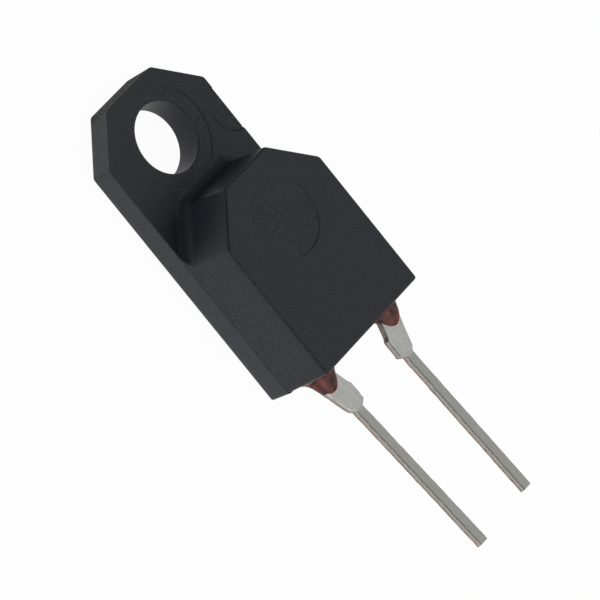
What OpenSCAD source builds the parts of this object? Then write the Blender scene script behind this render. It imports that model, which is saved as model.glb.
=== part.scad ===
// Two-lead moulded power film resistor with a screw tab.
// All sizes are in millimetres. The origin is the centre of the screw hole on the
// flat mounting face: +X runs across the case, +Y towards the tab's end, and +Z
// out of the front face. The leads leave along -Y.

/* [Case] */
// Width across the parting line, where the two mould halves met
case_width = 8.26; // [8:0.02:9.2]
// Thickness from the mounting face to the front face
case_thickness = 4.93; // [4.5:0.01:5.6]
// Distance from the screw hole's centre to the lead end
case_reach = 13.25; // [12.9:0.05:15]
// Radius of the upright corners on the tab and on the step
corner_radius = 0.35; // [0.22:0.01:0.6]
// Radius of the upright corners at the lead end
end_radius = 0.15; // [0.15:0.01:0.4]
// Rounding along the edge of the front face
edge_radius = 0.14; // [0.03:0.01:0.14]
// Small break along the edge of the mounting face
back_edge = 0.06; // [0.02:0.01:0.09]
// Taper of the back half: how far each side draws in at the mounting face
back_taper = 0.22; // [0:0.01:0.25]
// Taper of the front half: how far each side draws in at the front face
front_taper = 0.03; // [0:0.005:0.1]
// Mismatch of the mould halves: how far the front half stops short at the lead end
half_mismatch = 0.06; // [0:0.01:0.2]

/* [Tab] */
// Thickness of the tab
tab_thickness = 1.7; // [1.4:0.01:2]
// Distance from the screw hole's centre to the tab's end
tab_reach = 3.05; // [2.9:0.05:4]
// Length of the cut-off corners, along the width
tab_corner_cut = 2.25; // [1.2:0.01:2.6]
// Screw hole diameter
hole_diameter = 3.73; // [2.6:0.01:4.2]
// Diameter of the washer seat round the hole
seat_diameter = 5.3; // [4.9:0.05:5.6]
// Depth of the washer seat
seat_depth = 0.03; // [0.01:0.01:0.1]

/* [Step] */
// Distance from the screw hole's centre to the step, at the front face
step_reach = 3.15; // [3:0.05:3.6]
// Length of the thick part's cut-off corners, along the width
step_corner_cut = 2.32; // [1.2:0.01:2.6]
// How far the step's wall leans out towards the tab
step_lean = 0.15; // [0:0.01:0.3]
// Radius of the hollow where the step meets the tab
step_fillet = 0.6; // [0.1:0.05:0.9]

/* [Moulded dish] */
// Diameter of the plain round dish on the front face
dish_diameter = 4.1; // [1:0.1:4.4]
// Depth of the dish
dish_depth = 0.04; // [0.02:0.01:0.12]
// Distance from the screw hole's centre to the dish's centre
dish_reach = 6.3; // [5.6:0.05:7.5]

/* [Heat spreader] */
// Width of the metal plate that lies flush in the mounting face
spreader_width = 5.8; // [4.6:0.05:6.2]
// Length of the plate
spreader_length = 7; // [6.4:0.05:7.4]
// Thickness of the plate
spreader_thickness = 1.64; // [1.3:0.01:1.7]
// How far the plate's rim reaches into the moulding on every side
rim_reach = 0.3; // [0.15:0.01:0.4]
// Thickness of that rim, at the plate's top
rim_thickness = 0.7; // [0.4:0.01:0.9]
// Distance from the lead end to the plate
spreader_inset = 1.25; // [0.9:0.05:1.5]

/* [Element] */
// Thickness of the bond under the ceramic
bond_thickness = 0.1; // [0.04:0.01:0.12]
// Width of the ceramic plate
ceramic_width = 6; // [5.6:0.05:6.2]
// Length of the ceramic plate
ceramic_length = 7.2; // [6.8:0.05:7.4]
// Thickness of the ceramic plate
ceramic_thickness = 0.64; // [0.5:0.01:0.7]
// Bare margin between the ceramic's edge and the printed layers
print_margin = 0.25; // [0.15:0.01:0.3]
// Width of each printed end pad
pad_width = 1.15; // [0.95:0.01:1.25]
// Thickness of the end pads
pad_thickness = 0.05; // [0.02:0.005:0.06]
// Thickness of the resistive film
film_thickness = 0.03; // [0.02:0.005:0.04]
// Width of the trimming cut in the film
trim_width = 0.12; // [0.05:0.01:0.3]
// Length of the trimming cut, along the width
trim_length = 1.4; // [0.5:0.05:1.8]
// Thickness of the glass over the film
glaze_thickness = 0.05; // [0.03:0.01:0.08]

/* [Leads] */
// Distance between the two lead centres where they narrow
lead_pitch = 4.57; // [4.5:0.01:4.65]
// Width of the narrow lead
lead_width = 0.62; // [0.4:0.01:0.65]
// Thickness of the lead
lead_thickness = 0.3; // [0.25:0.01:0.4]
// Length of the narrow left-hand lead, from the neck to its cut tip
left_lead_length = 8.95; // [4:0.05:14]
// Length of the narrow right-hand lead, from the neck to its cut tip
right_lead_length = 8.76; // [4:0.05:14]
// Distance from the lead end of the case to the neck
neck_reach = 2.8; // [2.2:0.05:3.5]
// Width of the flare, next to the neck
flare_width = 1.16; // [0.95:0.01:1.2]
// How far the flare's centre lies outside the lead's, next to the neck
flare_shift = -0.04; // [-0.06:0.01:0.06]
// Width of the lead where it leaves the case
exit_width = 1.48; // [1.2:0.01:1.55]
// How far the lead's centre has moved outwards where it leaves the case
exit_shift = 0.72; // [0.4:0.01:0.76]
// Step on the flare's inner edge
flare_step = 0.15; // [0.05:0.01:0.2]
// Distance from the neck to that step
flare_step_reach = 1.2; // [0.8:0.05:1.5]
// Length of the slope between the flare and the narrow lead
shoulder_length = 0.22; // [0.1:0.01:0.35]
// Angle at which the narrow lead rises from the neck, in degrees
lead_rise = 5.5; // [0:0.1:8]
// How far each tip drifts towards the other lead
lead_drift = 0.14; // [0:0.01:0.2]
// Inside radius of the bend at the neck
bend_radius = 1; // [0.5:0.1:3]
// Thickness of the solder under each lead
solder_thickness = 0.26; // [0.08:0.01:0.3]
// Length of each soldered foot
foot_length = 3; // [1.5:0.1:4]
// Width of each soldered foot
foot_width = 0.8; // [0.5:0.01:0.9]

/* [Lead seals] */
// How far the resin bead runs out along the lead
seal_reach = 1.4; // [0.6:0.05:1.6]
// How far the bead's centre lies inside the lead's, against the case
seal_shift = 0.45; // [0.4:0.01:0.5]
// Width of the resin bead against the case
seal_width = 3.05; // [2.6:0.05:3.1]
// Height of the resin bead against the case
seal_height = 1.5; // [1:0.05:1.6]

/* [Hidden] */
arc_steps = 6;
bead_steps = 12;
nose_part = 0.97;
fine = 96;
overcut = 1;
quarter = 90;
turn = 360;
root_two = sqrt(2);

front_reach = case_reach - half_mismatch;
front_width = case_width - 2 * front_taper;
back_width = case_width - 2 * back_taper;
front_height = case_thickness - tab_thickness;
lead_end = -case_reach;

bond_z = spreader_thickness;
ceramic_z = bond_z + bond_thickness;
print_z = ceramic_z + ceramic_thickness;
solder_z = print_z + pad_thickness;
lead_z = solder_z + solder_thickness;
lead_top = lead_z + lead_thickness;

spreader_low = lead_end + spreader_inset;
spreader_mid = spreader_low + spreader_length / 2;
pad_length = ceramic_length - 2 * print_margin;
pad_outer = ceramic_width / 2 - print_margin;
pad_inner = pad_outer - pad_width;
pad_mid = (pad_outer + pad_inner) / 2;
print_low = spreader_mid - pad_length / 2;

lead_x = lead_pitch / 2;
neck_y = -front_reach - neck_reach;
exit_x = lead_x + exit_shift;
flare_x = lead_x + flare_shift;
foot_y = print_low + print_margin;
exit_back_y = (foot_y - front_reach) / 2;
step_y = neck_y + flare_step_reach;

// A convex outline with its two far corners cut off at 45 degrees and every corner
// rounded; grow pushes the whole outline outwards, about the same corner centres.
function outline(width, low, high, cut, grow) =
    let (
        side = width / 2 - corner_radius,
        slip = corner_radius * (root_two - 1),
        end_x = width / 2 - end_radius,
        end_y = low + end_radius,
        corners = [
            [[end_x, end_y], -quarter, 0, end_radius],
            [[side, high - cut - slip], 0, quarter / 2, corner_radius],
            [[width / 2 - cut - slip, high - corner_radius], quarter / 2, quarter, corner_radius],
            [[cut + slip - width / 2, high - corner_radius], quarter, 1.5 * quarter, corner_radius],
            [[-side, high - cut - slip], 1.5 * quarter, 2 * quarter, corner_radius],
            [[-end_x, end_y], 2 * quarter, 3 * quarter, end_radius]
        ]
    )
    [for (corner = corners)
        for (step = [0:arc_steps])
            let (angle = corner[1] + (corner[2] - corner[1]) * step / arc_steps)
            corner[0] + (corner[3] + grow) * [cos(angle), sin(angle)]];

function lift(points, height) = [for (p = points) [p[0], p[1], height]];

// Skins a stack of rings, each listed anticlockwise seen from the stack's far end.
module skin(rings) {
    count = len(rings[0]);
    last = len(rings) - 1;
    polyhedron(
        points = [for (ring = rings) for (p = ring) p],
        faces = concat(
            [[for (i = [0:count - 1]) i]],
            [[for (i = [count - 1:-1:0]) last * count + i]],
            [for (r = [0:last - 1]) for (i = [0:count - 1])
                let (next = (i + 1) % count)
                [r * count + i, (r + 1) * count + i, (r + 1) * count + next, r * count + next]]
        )
    );
}

module plate(x_low, x_high, y_low, y_high, z_low, height) {
    translate([x_low, y_low, z_low])
        cube([x_high - x_low, y_high - y_low, height]);
}

module on_side(side) {
    mirror([side < 0 ? 1 : 0, 0, 0]) children();
}

// Back half of the moulding, from the mounting face to the parting plane.
function back_ring(height) =
    let (draw = back_taper * (1 - height / tab_thickness))
    lift(outline(case_width - 2 * draw, lead_end, tab_reach, tab_corner_cut,
                 height < back_edge ? height - back_edge : 0), height);

module back_half() {
    skin([for (height = [0, back_edge, tab_thickness]) back_ring(height)]);
}

// Front half: hollow fillet at the foot, leaning step wall, rounded front edge.
function front_ring(height, grow) =
    let (fall = (case_thickness - height) / front_height)
    lift(outline(front_width + 2 * front_taper * fall, -front_reach,
                 -step_reach + step_lean * fall, step_corner_cut, grow), height);

function front_rings() = concat(
    [front_ring(tab_thickness - overcut, step_fillet)],
    [for (step = [0:arc_steps])
        let (angle = quarter * step / arc_steps)
        front_ring(tab_thickness + step_fillet * (1 - cos(angle)), step_fillet * (1 - sin(angle)))],
    [for (step = [0:arc_steps])
        let (angle = quarter * step / arc_steps)
        front_ring(case_thickness - edge_radius * (1 - sin(angle)), -edge_radius * (1 - cos(angle)))]
);

module front_half() {
    intersection() {
        skin(front_rings());
        translate([0, 0, tab_thickness])
            linear_extrude(height = front_height + overcut)
                polygon(outline(case_width, -front_reach, tab_reach, tab_corner_cut, 0));
    }
}

module screw_hole() {
    translate([0, 0, -overcut])
        cylinder(d = hole_diameter, h = tab_thickness + 2 * overcut, $fn = fine);
    translate([0, 0, tab_thickness - seat_depth])
        cylinder(d = seat_diameter, h = seat_depth + front_height, $fn = fine);
}

module dish() {
    translate([0, -dish_reach, case_thickness - dish_depth])
        cylinder(d = dish_diameter, h = dish_depth + overcut, $fn = fine);
}

// The black moulding, with room for everything that it encloses.
module case() {
    color([0.13, 0.13, 0.14])
    difference() {
        union() {
            back_half();
            front_half();
        }
        screw_hole();
        dish();
        spreader_shape();
        bond_shape();
        ceramic_shape();
        glaze_shape();
        film_shape();
        for (side = [-1, 1]) on_side(side) {
            pad_shape();
            solder_shape();
            lead_shape(left_lead_length);
        }
    }
}

// Metal plate with a rim that locks it into the moulding.
module spreader_shape() {
    half = spreader_width / 2;
    plate(-half, half, spreader_low, spreader_low + spreader_length, 0, spreader_thickness);
    plate(-half - rim_reach, half + rim_reach, spreader_low - rim_reach,
          spreader_low + spreader_length + rim_reach, spreader_thickness - rim_thickness, rim_thickness);
}

module heat_spreader() {
    color([0.72, 0.72, 0.7]) spreader_shape();
}

module ceramic_block(height_low, height) {
    plate(-ceramic_width / 2, ceramic_width / 2, spreader_mid - ceramic_length / 2,
          spreader_mid + ceramic_length / 2, height_low, height);
}

module bond_shape() {
    ceramic_block(bond_z, bond_thickness);
}

module ceramic_bond() {
    color([0.6, 0.6, 0.62]) bond_shape();
}

module ceramic_shape() {
    ceramic_block(ceramic_z, ceramic_thickness);
}

module ceramic() {
    color([0.92, 0.91, 0.87]) ceramic_shape();
}

// Resistive film between the two end pads, with its trimming cut.
module film_shape() {
    difference() {
        plate(-pad_inner, pad_inner, print_low, print_low + pad_length, print_z, film_thickness);
        plate(-pad_inner - overcut, -pad_inner + trim_length, spreader_mid - trim_width / 2,
              spreader_mid + trim_width / 2, print_z - overcut, film_thickness + 2 * overcut);
    }
}

module resistive_film() {
    color([0.16, 0.2, 0.17]) film_shape();
}

// Glass over the film; it also fills the trimming cut.
module glaze_shape() {
    difference() {
        plate(-pad_inner, pad_inner, print_low, print_low + pad_length, print_z,
              film_thickness + glaze_thickness);
        film_shape();
    }
}

module glaze() {
    color([0.2, 0.42, 0.3]) glaze_shape();
}

module pad_shape() {
    plate(pad_inner, pad_outer, print_low, print_low + pad_length, print_z, pad_thickness);
}

module pad_left() {
    color([0.8, 0.79, 0.76]) on_side(-1) pad_shape();
}

module pad_right() {
    color([0.8, 0.79, 0.76]) pad_shape();
}

module solder_shape() {
    plate(pad_mid - foot_width / 2, pad_mid + foot_width / 2, foot_y, foot_y + foot_length,
          solder_z, solder_thickness);
}

module solder_left() {
    color([0.66, 0.67, 0.68]) on_side(-1) solder_shape();
}

module solder_right() {
    color([0.66, 0.67, 0.68]) solder_shape();
}

// Flat outline of the right-hand lead: foot, lock, flare, neck and narrow lead.
function lead_outline(length) = [
    [lead_x + lead_width / 2 - lead_drift, neck_y - length],
    [lead_x + lead_width / 2, neck_y],
    [flare_x + flare_width / 2, neck_y + shoulder_length],
    [exit_x + exit_width / 2, -front_reach],
    [exit_x + exit_width / 2, exit_back_y],
    [pad_mid + foot_width / 2, foot_y],
    [pad_mid + foot_width / 2, foot_y + foot_length],
    [pad_mid - foot_width / 2, foot_y + foot_length],
    [pad_mid - foot_width / 2, exit_back_y],
    [exit_x - exit_width / 2, -front_reach],
    [flare_x - flare_width / 2 + flare_step, step_y + shoulder_length],
    [flare_x - flare_width / 2, step_y],
    [flare_x - flare_width / 2, neck_y + shoulder_length],
    [lead_x - lead_width / 2, neck_y],
    [lead_x - lead_width / 2 - lead_drift, neck_y - length]
];

// Side view of the lead: level as far as the neck, then rising towards the tip.
module lead_side(length) {
    run = length / cos(lead_rise) + overcut;
    bend_z = bend_radius + lead_thickness;
    translate([neck_y, lead_z])
        square([foot_y + foot_length - neck_y, lead_thickness]);
    translate([neck_y, lead_z + bend_z]) {
        intersection() {
            difference() {
                circle(r = bend_z, $fn = fine);
                circle(r = bend_radius, $fn = fine);
            }
            polygon([[0, 0], [0, -2 * bend_z], [-2 * bend_z * tan(lead_rise), -2 * bend_z]]);
        }
        rotate(-lead_rise) translate([-run, -bend_z]) square([run, lead_thickness]);
    }
}

module lead_shape(length) {
    intersection() {
        linear_extrude(height = lead_top + length) polygon(lead_outline(length));
        rotate([quarter, 0, quarter]) linear_extrude(height = case_width) lead_side(length);
    }
}

module lead_left() {
    color([0.7, 0.7, 0.67]) on_side(-1) lead_shape(left_lead_length);
}

module lead_right() {
    color([0.7, 0.7, 0.67]) lead_shape(right_lead_length);
}

// Resin bead round the lead where it leaves the case: a blunt nose that spreads
// into a thin skirt against the case.
function bead_size(part) = 0.6 * sqrt(1 - part * part) + 0.4 * pow(1 - part, 5);

function bead_ring(part) =
    let (
        centre = exit_x - seal_shift * (0.4 + 0.6 * pow(1 - part, 4)),
        wide = seal_width / 2 * bead_size(part),
        tall = seal_height / 2 * bead_size(part)
    )
    [for (i = [0:4 * arc_steps - 1])
        let (angle = turn * i / (4 * arc_steps))
        [centre + wide * cos(angle), -front_reach - seal_reach * part,
         lead_z + lead_thickness / 2 + tall * sin(angle)]];

module seal_shape() {
    difference() {
        skin([for (step = [0:bead_steps]) bead_ring(nose_part * step / bead_steps)]);
        lead_shape(left_lead_length);
    }
}

module seal_left() {
    color([0.45, 0.1, 0.07]) on_side(-1) seal_shape();
}

module seal_right() {
    color([0.45, 0.1, 0.07]) seal_shape();
}

case();
heat_spreader();
ceramic_bond();
ceramic();
resistive_film();
glaze();
pad_left();
pad_right();
solder_left();
solder_right();
lead_left();
lead_right();
seal_left();
seal_right();
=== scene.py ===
"""Dresses a two-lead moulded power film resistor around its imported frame.

Sizes are in millimetres in the part's own frame: the origin is the centre of the
screw hole on the flat mounting face, X runs across the case, Y towards the tab's
end and Z out of the front face. The leads leave along -Y. Meshes are in metres.
"""

from __future__ import annotations

import logging
import math
from dataclasses import dataclass, field, replace
from enum import Enum

import bpy
import numpy as np
from bpy.types import ID, Material, Node, NodeSocket, Object, World
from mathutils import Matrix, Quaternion, Vector
from mathutils.geometry import tessellate_polygon

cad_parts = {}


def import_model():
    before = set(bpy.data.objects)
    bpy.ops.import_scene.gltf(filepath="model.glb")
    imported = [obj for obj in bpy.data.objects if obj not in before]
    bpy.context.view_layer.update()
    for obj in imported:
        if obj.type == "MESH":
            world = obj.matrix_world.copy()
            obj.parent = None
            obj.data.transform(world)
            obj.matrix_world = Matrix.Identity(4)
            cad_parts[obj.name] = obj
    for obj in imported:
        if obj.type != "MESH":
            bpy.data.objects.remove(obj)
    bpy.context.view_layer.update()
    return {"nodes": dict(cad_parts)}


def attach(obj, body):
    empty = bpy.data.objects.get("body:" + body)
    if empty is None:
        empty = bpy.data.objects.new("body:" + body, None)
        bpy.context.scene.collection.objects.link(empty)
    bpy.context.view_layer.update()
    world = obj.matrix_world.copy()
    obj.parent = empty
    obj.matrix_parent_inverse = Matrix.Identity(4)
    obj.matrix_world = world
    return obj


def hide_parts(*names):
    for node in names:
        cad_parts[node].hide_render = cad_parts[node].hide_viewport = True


LOG = logging.getLogger("resistor")

MM = 0.001
BODY = "root"
SHARP_ANGLE = math.radians(30)
MERGE_DISTANCE = 1e-8

# A ray and a side whose product is under MISS are taken as parallel, and SLACK is how far
# past a side's end, as a share of the side, a ray may still meet it.
MISS = 1e-12
SLACK = 1e-9

Span = tuple[float, float]
Triple = tuple[float, float, float]
Colour = tuple[float, float, float]
Value = NodeSocket | float
Array = np.ndarray

UP: Triple = (0, 0, 1)
DOWN: Triple = (0, 0, -1)
TO_CASE: Triple = (0, 1, 0)
TO_TIP: Triple = (0, -1, 0)


class Side(Enum):
    """Which of the two leads a piece belongs to, as the sign of its X."""

    LEFT = -1
    RIGHT = 1

    @property
    def word(self) -> str:
        """The side's name in lower case."""
        return self.name.lower()


# --- shapes ---


def corner_ring(corners: Array, steps: int) -> Array:
    """Strings rounded corners into one closed ring, anticlockwise.

    Each corner is the arc centre + radius * (cos a, sin a), with a going evenly
    from its start angle to its end angle; straight sides join the arcs.

    Args:
        corners: One row per corner: centre x, centre y, radius, start and end in degrees.
        steps: Steps along each corner's arc.

    Returns:
        The ring's points, shape (corners * (steps + 1), 2).
    """
    share = np.linspace(0, 1, steps + 1)
    angle = np.radians(corners[:, 3:4] + (corners[:, 4:5] - corners[:, 3:4]) * share)
    x = corners[:, 0:1] + corners[:, 2:3] * np.cos(angle)
    y = corners[:, 1:2] + corners[:, 2:3] * np.sin(angle)
    return np.stack([x.ravel(), y.ravel()], axis=1)


def polar(centre: Span, radius: Array | float, angle: Array) -> Array:
    """Places a point in each direction a from a centre: centre + radius * (cos a, sin a)."""
    return np.asarray(centre) + np.stack([radius * np.cos(angle), radius * np.sin(angle)], axis=1)


def circle(centre: Span, radius: float, count: int) -> Array:
    """Makes a circle of so many points, anticlockwise and evenly round the turn."""
    return polar(centre, radius, np.arange(count) * 2 * math.pi / count)


def quarter(radius: float, count: int) -> list[Span]:
    """Rounds an edge: rise radius * (1 - sin a) and growth radius * (cos a - 1), a from 0 to 90."""
    turn = np.radians(np.linspace(0, 90, count))
    return [(radius * (1 - math.sin(a)), radius * (math.cos(a) - 1)) for a in turn]


def ray_lengths(ring: Array, centre: Array, angles: Array) -> Array:
    """Finds how far it is from a centre to a ring, along each direction.

    For the ray centre + r u and the side p to q, r is (p x q) / (u x (q - p)), where
    the ray crosses between p and q; all rays and all sides are solved at once.

    Args:
        ring: Closed ring of points that the centre sees all of.
        centre: Where the rays start.
        angles: Direction of each ray, in radians.

    Returns:
        The distance along each ray.
    """
    start = ring - centre
    side = np.roll(start, -1, axis=0) - start
    ray = polar((0, 0), 1, angles)[:, None, :]
    across = ray[..., 0] * side[:, 1] - ray[..., 1] * side[:, 0]
    level = np.abs(across) < MISS
    safe = np.where(level, MISS, across)
    far = (start[:, 0] * side[:, 1] - start[:, 1] * side[:, 0]) / safe
    share = (start[:, 0] * ray[..., 1] - start[:, 1] * ray[..., 0]) / safe
    hit = (far > 0) & (np.abs(share - 0.5) < 0.5 + SLACK) & ~level
    return np.where(hit, far, np.inf).min(axis=1)


def smooth_noise(count: int, width: float, seed: int) -> Array:
    """Makes a smooth random row: white noise blurred by a Gaussian, with a spread of 1.

    Args:
        count: Length of the row.
        width: Width of the blur, in places of the row.
        seed: Seed of the random numbers.

    Returns:
        The row of values.
    """
    noise = np.random.default_rng(seed).normal(size=count)
    aside = np.arange(-int(3 * width), int(3 * width) + 1)
    kernel = np.exp(-0.5 * (aside / width) ** 2)
    blurred = np.convolve(np.pad(noise, len(aside), mode="wrap"), kernel, mode="same")
    blurred = blurred[len(aside) : len(aside) + count]
    return blurred / blurred.std()


def add(name: str, data: ID) -> Object:
    """Adds an object to the scene, at the origin.

    Args:
        name: The object's name.
        data: Its mesh, lamp or camera.

    Returns:
        The new object.
    """
    made = bpy.data.objects.new(name, data)
    bpy.context.scene.collection.objects.link(made)
    return made


@dataclass
class Skin:
    """A closed surface gathered from rings of points, bands of quads and flat caps.

    Where rings run anticlockwise seen from above, the band to the next ring faces outwards
    if that ring lies above, upwards if it lies inside, and the axis if it lies below.
    """

    points: list[Array] = field(default_factory=list)
    across: list[Array] = field(default_factory=list)
    faces: list[Array] = field(default_factory=list)
    finish: list[Array] = field(default_factory=list)
    count: int = 0

    def ring(self, plan: Array, height: float = 0.0, across: Array | float = 0.0) -> Array:
        """Adds a ring of points.

        Args:
            plan: The points' x and y, shape (n, 2), or x, y and z, shape (n, 3).
            height: Their z, which isn't used where plan has three columns.
            across: The value that the finish reads at each point.

        Returns:
            The points' places in the skin.
        """
        size = len(plan)
        if plan.shape[1] == 2:
            plan = np.column_stack([plan, np.broadcast_to(height, size)])
        self.points.append(plan)
        self.across.append(np.broadcast_to(across, size))
        self.count += size
        return np.arange(self.count - size, self.count)

    def band(self, low: Array, high: Array, finish: Array | int = 0, closed: bool = True) -> None:
        """Adds a band of quads between two rings of one length.

        Args:
            low: The ring that the band starts from.
            high: The ring that it ends on.
            finish: Material place of the quads, or one for each of them.
            closed: Whether the last point joins back to the first.
        """
        turn_low, turn_high = np.roll(low, -1), np.roll(high, -1)
        quads = np.stack([low, turn_low, turn_high, high], axis=1)
        quads = quads if closed else quads[:-1]
        self.faces.append(quads)
        self.finish.append(np.broadcast_to(finish, len(quads)))

    def stack(self, rings: list[Array], finish: Array | int = 0) -> None:
        """Joins each ring to the next by a band."""
        for low, high in zip(rings[:-1], rings[1:]):
            self.band(low, high, finish)

    def cap(self, loops: list[Array], facing: Triple, finish: int = 0) -> None:
        """Fills the flat area inside the first loop and outside the others.

        Args:
            loops: Places of the outer loop and of each hole.
            facing: The direction that the cap faces.
            finish: Material place of the cap.
        """
        places = np.concatenate(loops)
        spots = np.concatenate(self.points)[places]
        starts = np.cumsum([0, *[len(loop) for loop in loops]])
        outlines = [[Vector(p) for p in spots[a:b]] for a, b in zip(starts[:-1], starts[1:])]
        triangles = np.array(tessellate_polygon(outlines))
        a, b, c = (spots[triangles[:, k]] for k in range(3))
        wrong = np.cross(b - a, c - a) @ np.array(facing) < 0
        triangles[wrong] = triangles[wrong][:, ::-1]
        self.faces.append(places[triangles])
        self.finish.append(np.broadcast_to(finish, len(triangles)))

    def piece(self, name: str, materials: list[Material], mirrored: bool = False) -> Object:
        """Makes the mesh, merges doubled points and shades it smooth up to sharp edges.

        Args:
            name: The piece's name.
            materials: Its materials, in the order that the faces count them.
            mirrored: Whether the skin is turned over in X.

        Returns:
            The new object, at the origin.
        """
        turn = -1 if mirrored else 1
        points, kept, place = merge_doubles(np.concatenate(self.points) * MM)
        points[:, 0] *= turn
        polygons, choices = drop_flat_faces([place[block][:, ::turn] for block in self.faces], self.finish)
        mesh = bpy.data.meshes.new(name)
        mesh.from_pydata(points, [], polygons)
        mesh.polygons.foreach_set("material_index", np.array(choices, dtype=np.int32))
        mesh.polygons.foreach_set("use_smooth", np.ones(len(polygons), dtype=bool))
        layer = mesh.attributes.new("across", "FLOAT", "POINT")
        layer.data.foreach_set("value", np.concatenate(self.across)[kept].astype(np.float32))
        mesh.set_sharp_from_angle(angle=SHARP_ANGLE)
        for material in materials:
            mesh.materials.append(material)
        mesh.validate()
        mesh.update()
        return add(name, mesh)


def merge_doubles(points: Array) -> tuple[Array, Array, Array]:
    """Merges points that lie on each other, by rounding their places.

    Args:
        points: All points, in metres.

    Returns:
        The merged points, which of the old ones they are, and each old point's new place.
    """
    grid = np.round(points / MERGE_DISTANCE).astype(np.int64)
    _, kept, place = np.unique(grid, axis=0, return_index=True, return_inverse=True)
    return points[kept], kept, place.ravel()


def drop_flat_faces(faces: list[Array], finish: list[Array]) -> tuple[list[list[int]], list[int]]:
    """Turns a quad with two equal corners into a triangle and drops what has no area.

    Args:
        faces: Blocks of faces, each of one corner count.
        finish: The material place of each block's faces.

    Returns:
        The faces as lists of points, and their material places.
    """
    polygons: list[list[int]] = []
    choices: list[int] = []
    for block, choice in zip(faces, finish):
        same = block == np.roll(block, -1, axis=1)
        whole = ~same.any(axis=1)
        polygons += block[whole].tolist()
        choices += np.asarray(choice)[whole].tolist()
        if block.shape[1] == 4:
            bent = same.sum(axis=1) == 1
            polygons += block[bent][~same[bent]].reshape(-1, 3).tolist()
            choices += np.asarray(choice)[bent].tolist()
    return polygons, choices


# --- finishes ---

# The whole range, and the middle ranges of a noise that finishes stretch to the whole.
UNIT: Span = (0.0, 1.0)
FAINT: Span = (0.25, 0.75)
SOFT: Span = (0.30, 0.70)
CRISP: Span = (0.35, 0.65)
WHITE = (1.0, 1.0, 1.0, 1.0)


@dataclass(frozen=True)
class Grain:
    """A noise: its size in mm, its finer layers, and how much finer it is along each axis."""

    size: float
    detail: float = 3.0
    stretch: Triple = (1.0, 1.0, 1.0)


class Graph:
    """The node tree of a material or of the world, with short calls to add and join its nodes."""

    def __init__(self, owner: Material | World) -> None:
        """Empties the tree and adds its output and its coordinates.

        Args:
            owner: What the tree belongs to.
        """
        owner.use_nodes = True
        self.owner, self.tree = owner, owner.node_tree
        self.tree.nodes.clear()
        self.out = self.node("Output" + type(owner).__name__)
        self.places = self.node("TexCoord").outputs

    def node(self, kind: str, values: dict | None = None, **settings: object) -> Node:
        """Adds a node.

        Args:
            kind: The node's type, without its common beginning.
            values: Numbers or sockets for its inputs, by name or by place.
            settings: Its own properties.

        Returns:
            The node.
        """
        made = self.tree.nodes.new("ShaderNode" + kind)
        for name, value in settings.items():
            setattr(made, name, value)
        for name, value in (values or {}).items():
            if isinstance(value, NodeSocket):
                self.tree.links.new(value, made.inputs[name])
            else:
                made.inputs[name].default_value = value
        return made

    def noises(self, *grains: Grain) -> list[NodeSocket]:
        """Adds noises on Object coordinates.

        Args:
            grains: What each noise is like.

        Returns:
            Their values, about 0.5.
        """
        made = []
        for grain in grains:
            scaled = self.node("Mapping", {"Vector": self.places["Object"], "Scale": grain.stretch})
            values = {"Vector": scaled.outputs[0], "Scale": 1 / (grain.size * MM), "Detail": grain.detail}
            made.append(self.node("TexNoise", values).outputs["Fac"])
        return made

    def across(self) -> NodeSocket:
        """Reads the value that the piece's own points carry."""
        return self.node("Attribute", attribute_name="across").outputs["Fac"]

    def remap(self, value: Value, source: Span, target: tuple[Value, Value] = UNIT) -> NodeSocket:
        """Maps a value from a source range to a target range, and clamps it there."""
        return self.node("MapRange", dict(enumerate((value, *source, *target)))).outputs[0]

    def math(self, operation: str, first: Value, second: Value) -> NodeSocket:
        """Joins two values by arithmetic."""
        return self.node("Math", {0: first, 1: second}, operation=operation).outputs[0]

    def blend(self, *parts: tuple[NodeSocket, Span, float]) -> NodeSocket:
        """Adds up two values, each stretched over its range and weighed by its share."""
        return self.math("ADD", *[self.remap(part, source, (0.0, share)) for part, source, share in parts])

    def mix(self, share: Value, *ends: Colour | NodeSocket) -> NodeSocket:
        """Mixes two colours, with the share as how much of the second."""
        first, second = (end if isinstance(end, NodeSocket) else (*end, 1.0) for end in ends)
        return self.node("Mix", {0: share, 6: first, 7: second}, data_type="RGBA").outputs[2]

    def relief(self, *layers: tuple[NodeSocket, float]) -> NodeSocket:
        """Adds bumps that lie on each other.

        Args:
            layers: Each bump's height, from 0 to 1, and what a height of 1 measures, in mm.

        Returns:
            The bent normal.
        """
        under: dict[str, NodeSocket] = {}
        for height, depth in layers:
            values = {"Height": height, "Distance": depth * MM, "Strength": 1.0, **under}
            under = {"Normal": self.node("Bump", values).outputs[0]}
        return under["Normal"]

    def end(self, values: dict, kind: str = "BsdfPrincipled") -> Material | World:
        """Ends the tree in a shader of a kind, and gives back what the tree belongs to."""
        self.tree.links.new(self.node(kind, values).outputs[0], self.out.inputs[0])
        return self.owner


@dataclass(frozen=True)
class Finish:
    """A finish whose colour, gloss and relief all vary over two grains.

    A patch noise shifts the colour and the gloss slowly; a fine noise adds the grain.
    """

    name: str
    dark: Colour
    light: Colour
    gloss: Span
    patch: float
    grain: float
    depth: float
    stretch: Triple = (1.0, 1.0, 1.0)
    metallic: float = 0.0
    coat: float = 0.0
    patch_share: float = 0.6

    def material(self) -> Material:
        """Makes the finish's material.

        Returns:
            The material.
        """
        graph = Graph(bpy.data.materials.new(self.name))
        grains = (Grain(self.patch, 3.0, self.stretch), Grain(self.grain, 4.0, self.stretch))
        patch, grain = graph.noises(*grains)
        blend = graph.blend((patch, SOFT, self.patch_share), (grain, FAINT, 1 - self.patch_share))
        return graph.end({
            "Base Color": graph.mix(blend, self.dark, self.light),
            "Roughness": graph.remap(blend, UNIT, self.gloss),
            "Normal": graph.relief((grain, self.depth)),
            "Metallic": self.metallic,
            "Coat Weight": self.coat,
        })


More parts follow.
